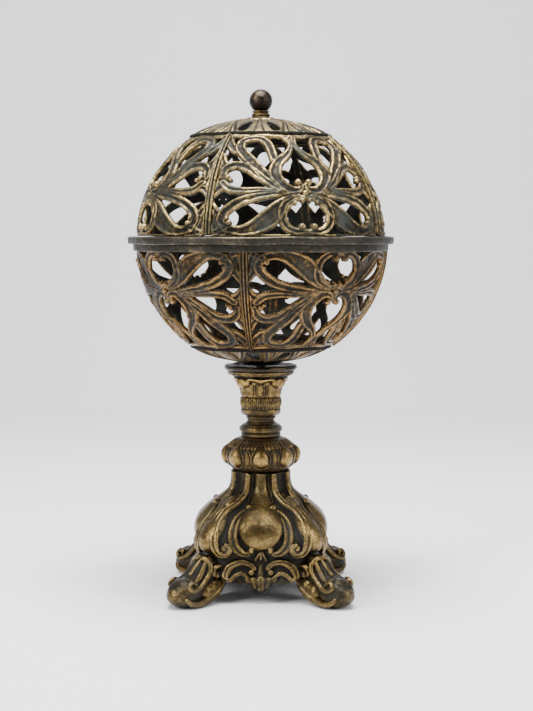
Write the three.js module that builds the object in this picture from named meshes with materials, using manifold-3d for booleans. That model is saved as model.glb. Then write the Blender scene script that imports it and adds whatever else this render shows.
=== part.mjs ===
// A pierced metal globe on a four-footed baroque pedestal. The upper half of the globe is a loose lid.
// Millimetres, +Z up, origin on the floor under the middle of the pedestal. A face of the base looks to -Y.
import * as THREE from "three";
import { mergeVertices } from "three/addons/utils/BufferGeometryUtils.js";
import { TessellateModifier } from "three/addons/modifiers/TessellateModifier.js";
import Module from "manifold-3d";

// ---- Driving dimensions ----
const GAP = 0.3; // left between castings that touch
const GLOBE_R = 82; // outside of the pierced panels
const PANEL_T = 3.2; // how thick the panels and caps are
const LID_Z = 232; // height of the lid's sphere centre
const BOWL_Z = 231.4; // height of the bowl's sphere centre
const QUARTERS = 4; // panels, ribs, and faces of the base, round the axis
const PANEL_LOW = 2.6; // latitudes of a panel's two ends, in degrees
const PANEL_HIGH = 55.2;
const RIB_HIGH = 54.6; // latitude of a rib's upper end
const LID_RIB_LOW = 3.4; // and of its lower end, just clear of each rim
const BOWL_RIB_LOW = 4.6;
const RIB_SIDE = 1.9; // half a rib's width in longitude
const RIB_PROUD = 1.9; // how far the ribs stand off the panels
const SEAM = 0.3; // left between a rib and a panel, in degrees
const CAP_EDGE = 55.7; // latitude of a cap's edge
const CAP_BEAD = 1.4; // how far that edge stands off the sphere
const LID_HUB = 9; // the lid cap is flat this many degrees round its pole
const LID_TURN = 21; // the lid as it was last put down: a panel's middle, in degrees from the front
const BOWL_TURN = 37.5; // and the bowl on its rod
const LID_CAP_TURN = -1.5;
const BOWL_CAP_TURN = 8.5;
const SPLIT_Z = 231; // the lid rests on the bowl here
const FLANGE_R = 87.1; // lid rim
const FLANGE_TOP = 235.25;
const BAND_R = 83.6; // bowl rim
const BAND_LOW = 225.8;
const BAND_LEDGE = 228.1; // the bowl's panels come up to this ledge
const RIM_IN = 78.4; // inside of both rims
const RIM_SIDES = 48; // facets round each rim
const LIP_T = 1.8; // the lid rim's locating lip
const LIP_DEEP = 2.6;
const LIP_PLAY = 0.5;
const FINIAL_BALL_R = 7.3;
const FINIAL_BALL_Z = 323.2;
const STUD_R = 2.5; // the finial's threaded stud
const STUD_LOW = 300.5;
const STUD_BORE_R = 3.2;
const ROD_R = 3; // tie rod from the base to the bowl
const BORE_R = 3.7;
const ROD_LOW = 60;
const ROD_HIGH = 166;
const DISC_TOP = 150.9;
const HUB_LOW = 153; // underside of the bowl cap's flat hub
const CAPITAL_LOW = 117;
const CAPITAL_TOP = 146.9;
const STEM_RING_LOW = 101.8;
const BASE_TOP = 79;
const BASE_ROOF = 72; // the hollow inside the base reaches up to here
const BASE_WALL = 3.6;
const BASE_SIDES = 32;
const HEM = 16.5; // height of the body's lower edge, between the pendant and the corner
const PENDANT_DROP = 7.5;
const PENDANT_WIDTH = 0.32; // as the sine of twice the angle
const CORNER_DROP = 4;
const FOOT_CORNERS = ["back_right", "back_left", "front_left", "front_right"];
const LEG_WIDE = 12;
const TOE_R = 71; // from the axis to the middle of a toe, along the diagonal
const TOE_BALL = 9.1;
const PAD_R = 5; // flat pad under each foot
const PAD_AT = 64; // from the axis to its middle, along the diagonal
const PAD_T = 4;
const CLEAR = 0.4; // height of the rest of the foot off the floor

const RAD = Math.PI / 180;
const wasm = await Module();
wasm.setup();

// ---- Materials ----
const metal = (color, roughness) => new THREE.MeshStandardMaterial({ color, roughness, metalness: 1 });
const lidBrass = metal(0x9a8a5c, 0.45);
const bowlBrass = metal(0x7d6238, 0.5);
const rimBronze = metal(0x3c3d38, 0.55);
const baseBrass = metal(0x7a6233, 0.42);
const darkBronze = metal(0x2b2723, 0.35);
const steel = metal(0x8d8f92, 0.4);

// ---- Helpers ----
const holder = new THREE.Group();

function place(name, geometry, material, turn = 0) {
  const mesh = new THREE.Mesh(geometry, material.clone());
  mesh.name = name;
  mesh.rotation.z = turn * RAD;
  holder.add(mesh);
}

// A turned piece. Its outline of [radius, height] points closes on itself, or starts and ends on the axis.
function turned(outline, segments) {
  const points = [...outline, outline[0]].map(([r, z]) => new THREE.Vector2(r, z));
  return new THREE.LatheGeometry(points, segments).rotateX(Math.PI / 2);
}

// As turned(), but the outline changes round the axis: outlineAt(angle) gives it, always with as many points.
function lobed(outlineAt, segments) {
  const position = [];
  const index = [];
  const rows = outlineAt(0).length;
  for (let i = 0; i < segments; i++) {
    const angle = (2 * Math.PI * i) / segments;
    const [across, out] = [Math.sin(angle), -Math.cos(angle)];
    outlineAt(angle).forEach(([r, z]) => position.push(r * across, r * out, z));
    for (let j = 0; j < rows; j++) {
      const here = i * rows;
      const there = ((i + 1) % segments) * rows;
      const next = (j + 1) % rows;
      index.push(here + j, there + j, there + next);
      index.push(here + j, there + next, here + next);
    }
  }
  const geometry = new THREE.BufferGeometry();
  geometry.setAttribute("position", new THREE.Float32BufferAttribute(position, 3));
  geometry.setIndex(index);
  return geometry;
}

function ring(inner, outer, low, high, segments) {
  return turned([[inner, low], [outer, low], [outer, high], [inner, high]], segments);
}

function solid(geometry) {
  const bare = geometry.clone();
  bare.deleteAttribute("normal");
  bare.deleteAttribute("uv");
  const merged = mergeVertices(bare, 1e-3);
  const vertProperties = merged.attributes.position.array;
  const triVerts = new Uint32Array(merged.index.array);
  return new wasm.Manifold(new wasm.Mesh({ numProp: 3, vertProperties, triVerts }));
}

function geometryOf(manifold) {
  const { vertProperties, triVerts } = manifold.getMesh();
  const geometry = new THREE.BufferGeometry();
  geometry.setAttribute("position", new THREE.Float32BufferAttribute(vertProperties, 3));
  geometry.setIndex(new THREE.BufferAttribute(triVerts, 1));
  return geometry;
}

// A closed smooth outline through a few points.
function smooth(points, steps) {
  const corners = points.map(([x, y]) => new THREE.Vector3(x, y, 0));
  const curve = new THREE.CatmullRomCurve3(corners, true, "centripetal");
  const around = curve.getPoints(steps).slice(0, -1);
  return around.map(({ x, y }) => new THREE.Vector2(x, y));
}

// Cuts openings out of a plate drawn in degrees, and wraps it round: wrap(x, y, depth) gives the real
// place, with depth 0 on the inside and 1 on the outside. No edge of the plate spans more than longest.
function wrapped(edge, openings, longest, wrap) {
  const shape = new THREE.Shape(edge);
  shape.holes = openings.map((points) => new THREE.Path(points));
  const flat = new THREE.ExtrudeGeometry(shape, { depth: 1, bevelEnabled: false, steps: 1 });
  const fine = new TessellateModifier(longest, 8).modify(flat);
  const position = fine.attributes.position;
  for (let i = 0; i < position.count; i++) {
    position.setXYZ(i, ...wrap(position.getX(i), position.getY(i), position.getZ(i)));
  }
  return fine;
}

// ---- Globe panels and ribs ----
const onSphere = (radius, longitude, latitude) => [
  radius * Math.cos(latitude * RAD) * Math.sin(longitude * RAD),
  -radius * Math.cos(latitude * RAD) * Math.cos(longitude * RAD),
  radius * Math.sin(latitude * RAD),
];

// Openings between a panel's scrolls, as [longitude from its middle, latitude]. The two hearts lie on the
// middle line, and their right halves are given. The others come in pairs, one each side.
const HEART = [[0, 44.2], [3.6, 40.4], [9.4, 36.6], [11.2, 32], [9.4, 28.2], [4.8, 28.4]];
const LOWER_HEART = [[0, 16.4], [4.2, 17.4], [7.6, 14.2], [7.4, 10.2], [4.4, 9.2]];
const UPPER_LOOP = [
  [17.6, 34], [22.5, 37.4], [28, 42], [31, 45.6], [28.5, 48], [22.5, 48.6], [18.6, 45.6], [17.6, 40],
];
const MIDDLE_PETAL = [[19, 24.8], [26, 29.4], [32.4, 31.8], [36.2, 30], [35, 26.2], [27, 24.6]];
const LOWER_PETAL = [[16.4, 18.2], [24, 17.8], [30.4, 15.2], [35, 11.2], [34, 7.6], [28, 8.2], [21, 13]];
const HEART_SHOULDER = [[5.6, 47.6], [9.8, 43.6], [13.6, 49.6]];
const UPPER_SEAM_GAP = [[34, 39], [41.2, 36.8], [41.2, 41.4]];
const LOWER_SEAM_GAP = [[36, 20.2], [41.4, 17.2], [41.4, 22.4]];
const UNDER_LEAF = [[13.4, 9.4], [19, 6.6], [27, 4.6], [14.4, 4.6]];
const PAIRED = [
  { points: UPPER_LOOP, steps: 10 },
  { points: MIDDLE_PETAL, steps: 8 },
  { points: LOWER_PETAL, steps: 10 },
  { points: HEART_SHOULDER, steps: 3 },
  { points: UPPER_SEAM_GAP, steps: 3 },
  { points: LOWER_SEAM_GAP, steps: 3 },
  { points: UNDER_LEAF, steps: 4 },
];

const mirrored = (points) => points.map(([x, y]) => [-x, y]);
const bothHalves = (points) => [...points, ...mirrored(points.slice(1)).reverse()];

function strip(side, low, high) {
  return [[-side, low], [side, low], [side, high], [-side, high]].map(([x, y]) => new THREE.Vector2(x, y));
}

function panel() {
  const openings = [smooth(bothHalves(HEART), 12), smooth(bothHalves(LOWER_HEART), 10)];
  for (const { points, steps } of PAIRED) {
    openings.push(smooth(points, steps), smooth(mirrored(points), steps));
  }
  const side = 180 / QUARTERS - RIB_SIDE - SEAM;
  const edge = strip(side, PANEL_LOW, PANEL_HIGH);
  const inside = GLOBE_R - PANEL_T;
  return wrapped(edge, openings, 16, (x, y, depth) => onSphere(inside + PANEL_T * depth, x, y));
}

function rib(low) {
  const inside = GLOBE_R - PANEL_T;
  const thick = PANEL_T + RIB_PROUD;
  const edge = strip(RIB_SIDE, low, RIB_HIGH);
  return wrapped(edge, [], 13, (x, y, depth) => onSphere(inside + thick * depth, x, y));
}

// ---- Caps ----
const circle = (r, steps) => new THREE.Path().absarc(0, 0, r, 0, 2 * Math.PI).getPoints(steps).slice(0, -1);

// One slot of a cap, in degrees: [from the pole along a quarter's middle line, to the side].
const CAP_SLOT = [[18.5, 1.8], [24, 2.2], [30.4, 3.4], [30, 9.6], [23, 7.6]];

// A cap is drawn in degrees, as seen down its axis. Its hub is flat, and its edge is a raised bead.
function cap(hub, boreR) {
  const far = 90 - CAP_EDGE;
  const openings = [circle(boreR / GLOBE_R / RAD, 8)];
  for (let i = 0; i < QUARTERS; i++) {
    const turn = (i * 2 * Math.PI) / QUARTERS;
    for (const side of [-1, 1]) {
      const points = CAP_SLOT.map(([x, y]) => new THREE.Vector2(x, side * y));
      openings.push(points.map((point) => point.rotateAround(new THREE.Vector2(), turn)));
    }
  }
  return wrapped(circle(far, 32), openings, 12, (x, y, depth) => {
    const polar = Math.hypot(x, y);
    const bead = polar > far - 1 ? CAP_BEAD : 0;
    const r = GLOBE_R - PANEL_T * (1 - depth) + bead * depth;
    const out = (r * Math.sin(polar * RAD)) / polar;
    const z = polar < hub ? GLOBE_R * Math.cos(hub * RAD) - PANEL_T * (1 - depth) : r * Math.cos(polar * RAD);
    return [y * out, -x * out, z];
  });
}

// ---- Globe ----
const upsideDown = (geometry) => geometry.clone().rotateX(Math.PI).rotateZ(Math.PI);

function globe() {
  const lidPanel = panel().translate(0, 0, LID_Z);
  const bowlPanel = upsideDown(panel()).translate(0, 0, BOWL_Z);
  const lidRib = rib(LID_RIB_LOW).translate(0, 0, LID_Z);
  const bowlRib = upsideDown(rib(BOWL_RIB_LOW)).translate(0, 0, BOWL_Z);
  const quarter = 360 / QUARTERS;
  for (let i = 0; i < QUARTERS; i++) {
    place(`lid_panel_${i + 1}`, lidPanel, lidBrass, LID_TURN + i * quarter);
    place(`lid_rib_${i + 1}`, lidRib, lidBrass, LID_TURN + (i + 0.5) * quarter);
    place(`bowl_panel_${i + 1}`, bowlPanel, bowlBrass, BOWL_TURN + i * quarter);
    place(`bowl_rib_${i + 1}`, bowlRib, bowlBrass, BOWL_TURN + (i + 0.5) * quarter);
  }
  const bowlHub = Math.acos((BOWL_Z - HUB_LOW) / GLOBE_R) / RAD;
  const lidCap = cap(LID_HUB, STUD_BORE_R).translate(0, 0, LID_Z);
  const bowlCap = upsideDown(cap(bowlHub, BORE_R + 0.4)).translate(0, 0, BOWL_Z);
  place("lid_cap", lidCap, lidBrass, LID_CAP_TURN);
  place("bowl_cap", bowlCap, bowlBrass, BOWL_CAP_TURN);
}

// ---- Rims ----
function rims() {
  const lidLow = SPLIT_Z + GAP / 2;
  const bowlHigh = SPLIT_Z - GAP / 2;
  const lipOut = RIM_IN - LIP_PLAY;
  const lipIn = lipOut - LIP_T;
  const skirtIn = GLOBE_R + GAP;
  const lidOutline = [
    [lipIn, lidLow - LIP_DEEP], [lipOut, lidLow - LIP_DEEP], [lipOut, lidLow],
    [FLANGE_R, lidLow], [FLANGE_R, FLANGE_TOP], [lipIn, FLANGE_TOP],
  ];
  const bowlOutline = [
    [RIM_IN, BAND_LEDGE], [skirtIn, BAND_LEDGE], [skirtIn, BAND_LOW],
    [BAND_R, BAND_LOW], [BAND_R, bowlHigh], [RIM_IN, bowlHigh],
  ];
  place("lid_rim", turned(lidOutline, RIM_SIDES), rimBronze);
  place("bowl_rim", turned(bowlOutline, RIM_SIDES), rimBronze);
}

// ---- Finial ----
function finial() {
  const hubTop = LID_Z + GLOBE_R * Math.cos(LID_HUB * RAD);
  const seat = hubTop + GAP;
  const outline = [
    [0, STUD_LOW], [STUD_R, STUD_LOW], [STUD_R, seat], [6.8, seat], [6.6, seat + 1],
    [4.9, seat + 1.8], [4.7, seat + 2.9], [5.4, seat + 3.5],
  ];
  const ball = { from: -50, to: 90, step: 20 }; // latitudes, in degrees
  for (let angle = ball.from; angle < ball.to; angle += ball.step) {
    const [out, up] = [Math.cos(angle * RAD), Math.sin(angle * RAD)];
    outline.push([FINIAL_BALL_R * out, FINIAL_BALL_Z + FINIAL_BALL_R * up]);
  }
  outline.push([0, FINIAL_BALL_Z + FINIAL_BALL_R]);
  place("finial", turned(outline, 16), darkBronze);
  const inside = hubTop - PANEL_T - 2 * GAP;
  place("finial_washer", ring(STUD_BORE_R, 7.5, inside - 1.4, inside, 16), steel);
  place("finial_nut", ring(3.4, 5.4, inside - 6, inside - 1.7, 6), steel);
}

// ---- Stem ----
function stem() {
  place("globe_seat", ring(BORE_R, 13, DISC_TOP + GAP, HUB_LOW - GAP, 24), darkBronze);
  place("top_disc", turned([
    [BORE_R, CAPITAL_TOP + GAP], [21.5, CAPITAL_TOP + GAP], [23.6, 147.9], [24.2, 149.2], [23.4, 150.5],
    [22.2, DISC_TOP], [BORE_R, DISC_TOP],
  ], 32), darkBronze);
  place("capital", turned([
    [BORE_R, CAPITAL_LOW], [10.6, CAPITAL_LOW], [12.6, 119.2], [13.3, 121.6], [13.4, 128.6], [12.6, 129.6],
    [13.6, 134], [15.1, 138.6], [18.8, 140.6], [19.4, 143], [22.2, 144], [22.4, 145.8], [21, CAPITAL_TOP],
    [BORE_R, CAPITAL_TOP],
  ], 24), baseBrass);
  place("stem_ring", turned([
    [BORE_R, STEM_RING_LOW], [13, STEM_RING_LOW], [13.4, 103.4], [12.6, 104.4], [13.9, 106], [13.9, 108.4],
    [12, 110.6], [9.6, 111.8], [9, 114], [9.4, CAPITAL_LOW - GAP], [BORE_R, CAPITAL_LOW - GAP],
  ], 24), baseBrass);
  const knopLow = BASE_TOP + GAP;
  const knopTop = STEM_RING_LOW - GAP;
  place("knop", lobed((angle) => {
    const lobe = Math.abs(Math.cos(4 * angle));
    return [
      [BORE_R, knopLow], [15.5, knopLow], [19.4 + lobe, 82.6], [22.2 + 2.2 * lobe, 86.4],
      [22.6 + 2.6 * lobe, 90], [22.8 + 1.8 * lobe, 94], [20.6, 97.6], [15.6, 100.8],
      [12.4, knopTop], [BORE_R, knopTop],
    ];
  }, 32), baseBrass);
}

// ---- Tie rod ----
function washerAndNut(end, face, side) {
  const between = (a, b) => [face + side * a, face + side * b].sort((p, q) => p - q);
  place(`${end}_washer`, ring(BORE_R, 10, ...between(GAP, 1.8), 20), steel);
  place(`${end}_nut`, ring(3.9, 6.2, ...between(2.1, 7), 6), steel);
}

function tieRod() {
  place("tie_rod", new THREE.CylinderGeometry(ROD_R, ROD_R, ROD_HIGH - ROD_LOW, 12)
    .rotateX(Math.PI / 2)
    .translate(0, 0, (ROD_HIGH + ROD_LOW) / 2), steel);
  washerAndNut("top", HUB_LOW + PANEL_T, 1);
  washerAndNut("bottom", BASE_ROOF, -1);
}

// ---- Base ----
// Radius of the base over the middle of a face and over a corner, from the top down: [height, face, corner].
const BASE_RADII = [
  [79, 16.4, 16.6], [75, 16.9, 17.6], [70, 18, 20], [65, 22.5, 26], [60, 30.5, 33.5], [54, 36, 41.5],
  [47, 40.3, 48.5], [40, 41.8, 51.5], [34, 40, 50], [30, 37.6, 46.5], [22, 39.4, 50], [8, 43, 58],
];

// A foot's outline along its diagonal, as [from the axis, height], clockwise from where it joins the base.
const LEG = [
  [40, 33], [48, 34.5], [54, 31], [56, 24], [61, 17.5], [70, 18], [76, 15], [79, 9], [76, 3], [69, 1],
  [59, 1], [52, 5], [46.5, 13], [42, 22],
];

function baseRadius(z, corner) {
  const below = BASE_RADII.findIndex(([height], i) => i > 0 && height <= z);
  const [from, to] = [BASE_RADII[below - 1], BASE_RADII[below]];
  const share = (from[0] - z) / (from[0] - to[0]);
  const face = THREE.MathUtils.lerp(from[1], to[1], share);
  const diagonal = THREE.MathUtils.lerp(from[2], to[2], share);
  return THREE.MathUtils.lerp(face, diagonal, corner);
}

// How square the base is at an angle: 0 in the middle of a face, and 1 at a corner.
function cornerShare(angle) {
  return Math.sin(2 * angle) ** 2;
}

// The body's lower edge, which hangs down in a pendant in the middle of each face.
function hemHeight(angle) {
  const pendant = Math.exp(-cornerShare(angle) / PENDANT_WIDTH ** 2);
  return HEM - PENDANT_DROP * pendant - CORNER_DROP * cornerShare(angle);
}

const BODY_LEVELS = BASE_RADII.slice(0, -1).map(([z]) => z);

// The hollow four-sided body.
function baseBody() {
  return lobed((angle) => {
    const corner = cornerShare(angle);
    const hem = hemHeight(angle);
    const outside = [...BODY_LEVELS, hem].map((z) => [baseRadius(z, corner), z]);
    const hollow = [...BODY_LEVELS.filter((z) => z < BASE_ROOF - 2), hem];
    const inside = hollow.map((z) => [baseRadius(z, corner) - BASE_WALL, z]);
    return [[BORE_R, BASE_TOP], [BORE_R, BASE_ROOF], [12, BASE_ROOF], ...inside, ...outside.reverse()];
  }, BASE_SIDES);
}

// The space that the feet leave free for the body, a little larger than it all round.
function bodySpace() {
  return lobed((angle) => {
    const hem = hemHeight(angle) - GAP;
    const outside = [...BODY_LEVELS, hem].map((z) => [baseRadius(z, cornerShare(angle)) + 2 * GAP, z]);
    return [[BORE_R, BASE_TOP], [BORE_R, hem], ...outside.reverse()];
  }, BASE_SIDES);
}

function foot() {
  const side = smooth(LEG, 18).map(({ x, y }) => new THREE.Vector2(x, Math.max(y, CLEAR)));
  const leg = new THREE.ExtrudeGeometry(new THREE.Shape(side), { depth: LEG_WIDE, bevelEnabled: false });
  leg.translate(0, 0, -LEG_WIDE / 2).rotateX(Math.PI / 2);
  const toe = new THREE.SphereGeometry(TOE_BALL, 10, 8).rotateX(Math.PI / 2);
  toe.translate(TOE_R, 0, TOE_BALL + CLEAR);
  const pad = new THREE.CylinderGeometry(PAD_R, PAD_R, PAD_T, 16).rotateX(Math.PI / 2);
  pad.translate(PAD_AT, 0, PAD_T / 2);
  return solid(leg).add(solid(toe)).add(solid(pad));
}

function base() {
  place("base", baseBody(), baseBrass);
  const space = solid(bodySpace()).rotate([0, 0, 45]);
  const leg = geometryOf(foot().subtract(space));
  FOOT_CORNERS.forEach((corner, i) => place(`foot_${corner}`, leg, baseBrass, 45 + i * 90));
}

globe();
rims();
finial();
stem();
tieRod();
base();

export default holder;
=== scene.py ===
"""A pierced metal globe with a lift-off lid, on a four-footed baroque pedestal.

Shapes are worked out in millimetres and made into meshes in metres. Most castings are a grid of points on a
plain surface, with ornament raised on it by strands, domes and grooves. The feet also carry cords of metal.
"""
import math

import bmesh
import bpy
import numpy as np
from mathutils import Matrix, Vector


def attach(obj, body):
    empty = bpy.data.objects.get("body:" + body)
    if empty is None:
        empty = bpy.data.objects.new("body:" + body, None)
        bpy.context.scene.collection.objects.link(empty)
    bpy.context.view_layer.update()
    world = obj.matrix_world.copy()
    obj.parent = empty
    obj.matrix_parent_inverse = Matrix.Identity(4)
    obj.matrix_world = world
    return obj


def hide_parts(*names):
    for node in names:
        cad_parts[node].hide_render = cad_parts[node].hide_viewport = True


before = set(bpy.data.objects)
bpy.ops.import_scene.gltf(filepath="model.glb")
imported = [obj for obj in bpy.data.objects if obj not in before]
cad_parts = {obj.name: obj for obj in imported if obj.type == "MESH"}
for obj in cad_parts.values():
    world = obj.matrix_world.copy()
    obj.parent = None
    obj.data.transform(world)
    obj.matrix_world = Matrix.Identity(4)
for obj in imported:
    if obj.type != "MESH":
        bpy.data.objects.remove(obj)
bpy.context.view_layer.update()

MM = 0.001

# ---- Driving sizes, in mm and degrees ----
GLOBE_R = 81.4  # the pierced panels between their beads
PANEL_IN = 79.2
LID_Z = 232.0  # the centres of the two halves' spheres
BOWL_Z = 231.4
QUARTERS = 4
LID_TURN = 21.0  # from the front to a panel's middle
BOWL_TURN = 37.5
LID_CAP_TURN = -1.5
BOWL_CAP_TURN = 8.5
RIB_SIDE = 1.85  # half a rib's width, in longitude
RIB_LOW, RIB_HIGH = 3.2, 54.9  # latitudes of a rib's ends
PANEL_LOW, PANEL_HIGH = 2.6, 55.2
PANEL_STEP = 0.32
CAP_EDGE = 55.7
CAP_HOLE = 4.0  # from the pole to the edge of a cap's middle hole
CAP_THINNER = 0.5  # than the panels
LID_CAP_HUB = 79.2  # from the sphere's centre to the flattened middle of the cap
BOWL_CAP_HUB = 78.4
BORE_R = 3.7
CAPITAL_LOW, CAPITAL_HIGH = 117, 146.9
KNOP_LOW, KNOP_HIGH = 80.9, 103.2
BASE_TOP = 80.7
BASE_WALL = 3.0
SOLE = 0.0  # height of the feet's undersides
CAMERA_DISTANCE, CAMERA_HEIGHT, CAMERA_TILT = 973.4, 239.4, 4.853

# ---- How ornament is shaped, in mm ----
STEP = 0.4  # between the samples of a path
EDGE_ROUND = 0.9  # the rounding of a strand's edges
BEAD_RISE, BEAD_IN, BEAD_SIDE = 0.5, 1.25, 0.85  # a strand's beads: height, distance from its edge, size
HOLLOW_IN, HOLLOW_SIDE = 1.6, 1.4  # where a strand's middle starts to sink, and over how far it does
RIM_DEPTH = 0.7  # how far the rim of a hole lies under the surface
OUTSIDE = -1e3  # height and depth where nothing is laid yet

# ---- How relief is marked for the materials ----
HOLLOW_RANGE = (-5, 6)  # lowest and highest mark for standing out widely
GROUND_SLOPE = 3.2  # marks for each mm above the ground


# ---- paths, grids and meshes ----
def smooth_path(points, step):
    """A smooth curve through rows of numbers, with a row about every step of its first two columns."""
    rows = np.array(points, float)
    if len(rows) == 1:
        return rows
    padded = np.vstack([2 * rows[0] - rows[1], rows, 2 * rows[-1] - rows[-2]])
    parts = []
    for a, b, c, d in zip(padded, padded[1:], padded[2:], padded[3:]):
        count = max(2, math.ceil(np.hypot(*(c - b)[:2]) / step))
        t = np.arange(count)[:, None] / count
        parts.append(b + 0.5 * t * (c - a + t * (2 * a - 5 * b + 4 * c - d + t * (3 * (b - c) + d - a))))
    return np.vstack(parts + [rows[-1:]])


def curve_table(points):
    """A function that reads a smooth curve through (x, y) points."""
    table = smooth_path(sorted(points), STEP)
    return lambda x: np.interp(x, table[:, 0], table[:, 1])


def smoothstep(x):
    x = np.clip(x, 0, 1)
    return x * x * (3 - 2 * x)


def round_axis(radius, degrees, height):
    """Points at a distance from the vertical axis; 0 degrees is the front, and 90 the right."""
    angle = np.radians(degrees)
    return np.stack(np.broadcast_arrays(radius * np.sin(angle), -radius * np.cos(angle), height), -1)


def hump(x, side):
    """1 where x is 0, falling away smoothly over about side."""
    return np.exp(-((x / side) ** 2))


def waves(place, size, seed):
    """Smooth unevenness between about -1 and 1, with bumps about size across."""
    draw = np.random.default_rng(seed)
    total = 0
    for _ in range(9):
        direction = draw.normal(size=3)
        direction *= draw.uniform(0.6, 1.6) * math.pi / size / np.linalg.norm(direction)
        total = total + np.sin(place @ direction + draw.uniform(0, 6.3))
    return total / 4


class Relief:
    """A grid on surface(u, v), and the height of the ornament over it. fold lists where it mirrors in u."""

    def __init__(self, surface, u, v, fold=(), chart=None):
        self.surface = surface
        self.chart = chart
        self.u, self.v = np.meshgrid(u, v)
        self.place = surface(self.u, self.v)
        self.height = np.zeros(self.u.shape)
        self.inside = np.full(self.u.shape, OUTSIDE)
        self.fold = fold

    def reach(self, points, step):
        """Distance to each sample of a path and of its mirror images, and the samples' half widths."""
        path = smooth_path(points, step)
        if self.chart:
            path[:, 0], path[:, 1] = self.chart(path[:, 0], path[:, 1])
        images = [path]
        for line in self.fold:
            image = path.copy()
            image[:, 0] = 2 * line - image[:, 0]
            images.append(image)
        path = np.vstack(images)
        at = self.surface(path[:, 0], path[:, 1])
        grid = self.place.reshape(-1, 3)
        square = (grid**2).sum(1)[:, None] + (at**2).sum(1)[None] - 2 * grid @ at.T
        return np.sqrt(np.maximum(square, 0)), path[:, 2]

    def strand(self, points, lift=0.0, step=STEP, hollow=0.3, pierced=False):
        """A flat band with a bead along each edge; the third column of its points is half its width."""
        distance, width = self.reach(points, step)
        depth = width[None] - distance
        best = depth.argmax(1)
        depth = np.take_along_axis(depth, best[:, None], 1)[:, 0].reshape(self.u.shape)
        inner = np.maximum(depth, 0)
        drop = EDGE_ROUND - np.sqrt(np.maximum(EDGE_ROUND**2 - np.maximum(EDGE_ROUND - inner, 0) ** 2, 0))
        beads = BEAD_RISE * hump(inner - BEAD_IN, BEAD_SIDE)
        shape = lift + beads - hollow * smoothstep((inner - HOLLOW_IN) / HOLLOW_SIDE) - drop
        if pierced:
            self.height = np.where(self.inside > 0, self.height, OUTSIDE)
            self.height = np.where(depth > 0, np.maximum(self.height, shape), self.height)
            self.inside = np.maximum(self.inside, depth)
        else:
            raised = shape + EDGE_ROUND
            self.height = np.where(depth > 0, np.maximum(self.height, raised), self.height)

    def dome(self, points, rise=0.4, lift=0.0, step=STEP, pierced=False):
        """A rounded swelling; it rises by that share of the half width in the points' third column."""
        distance, width = self.reach(points, step)
        swell = (rise * width[None] * np.sqrt(np.maximum(1 - (distance / width[None]) ** 2, 0))).max(1)
        swell = swell.reshape(self.u.shape)
        self.height = np.where(swell > 0, np.maximum(self.height, lift + swell), self.height)
        if pierced:
            self.inside = np.maximum(self.inside, (width[None] - distance).max(1).reshape(self.u.shape))

    def halo(self, points, gap, rise, thick=0.5, step=STEP):
        """A thin ridge round the outline of what the points would raise."""
        distance, width = self.reach(points, step)
        beyond = (distance - width[None]).min(1).reshape(self.u.shape)
        self.height = self.height + rise * hump(beyond - gap, thick)

    def groove(self, points, depth):
        """A soft furrow of the half width in the points' third column."""
        distance, width = self.reach(points, STEP)
        ratio = (distance / width[None]).min(1).reshape(self.u.shape)
        self.height = self.height - depth * hump(ratio, 1)


def add_object(name, data):
    """A new object in the scene, for a mesh, light or camera."""
    thing = bpy.data.objects.new(name, data)
    bpy.context.scene.collection.objects.link(thing)
    return thing


def build(name, vertices, faces):
    """A smooth-shaded object of vertices in mm."""
    mesh = bpy.data.meshes.new(name)
    mesh.from_pydata((vertices * MM).tolist(), [], faces)
    mesh.validate()
    mesh.update()
    mesh.shade_smooth()
    return add_object(name, mesh)


def cell_corners(rows, cols, wraps):
    """Corners of every cell of a grid, anticlockwise, as flat vertex numbers: shape (rows - 1, cells, 4)."""
    j, i = np.meshgrid(np.arange(rows - 1), np.arange(cols if wraps else cols - 1), indexing="ij")
    right = (i + 1) % cols
    return np.stack([j * cols + i, j * cols + right, (j + 1) * cols + right, (j + 1) * cols + i], -1)


def shell(name, outer, inner, keep=None, wraps=False):
    """A closed mesh between two grids of points, of the cells to keep. Faces look away from inner."""
    rows, cols = outer.shape[:2]
    corners = cell_corners(rows, cols, wraps)
    if keep is None:
        keep = np.ones(corners.shape[:2], bool)
    total = rows * cols
    kept = corners[keep]
    faces = [kept, kept[:, ::-1] + total]
    padded = np.pad(keep, ((1, 1), (0, 0)))
    sides = np.concatenate([keep[:, -1:], keep, keep[:, :1]], 1) if wraps else np.pad(keep, ((0, 0), (1, 1)))
    beyond = [padded[:-2], sides[:, 2:], padded[2:], sides[:, :-2]]
    for edge, other in enumerate(beyond):
        rim = corners[keep & ~other]
        start, end = rim[:, edge], rim[:, (edge + 1) % 4]
        faces.append(np.stack([end, start, start + total, end + total], 1))
    faces = np.concatenate(faces)
    used, numbers = np.unique(faces, return_inverse=True)
    vertices = np.concatenate([outer.reshape(-1, 3), inner.reshape(-1, 3)])[used]
    piece = build(name, vertices, numbers.reshape(faces.shape).tolist())
    write_attribute(piece.data, "back", used >= total)
    return piece


def vertex_cover(keep, wraps):
    """Which vertices touch a kept cell, and which have kept cells all round."""
    tall = np.pad(keep, ((1, 1), (0, 0)))
    if wraps:
        left, right = np.roll(tall, 1, 1), tall
    else:
        wide = np.pad(tall, ((0, 0), (1, 1)))
        left, right = wide[:, :-1], wide[:, 1:]
    around = [left[:-1], left[1:], right[:-1], right[1:]]
    return np.any(around, 0), np.all(around, 0)


def joined_to_edge(keep):
    """The kept cells that hang together with the grid's last row. Loose ones are dropped."""
    joined = np.zeros_like(keep)
    joined[-1] = keep[-1]
    count = 0
    while joined.sum() > count:
        count = joined.sum()
        for _ in range(8):
            grown = joined.copy()
            grown[1:] |= joined[:-1]
            grown[:-1] |= joined[1:]
            grown[:, 1:] |= joined[:, :-1]
            grown[:, :-1] |= joined[:, 1:]
            joined = grown & keep
    return joined


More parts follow.
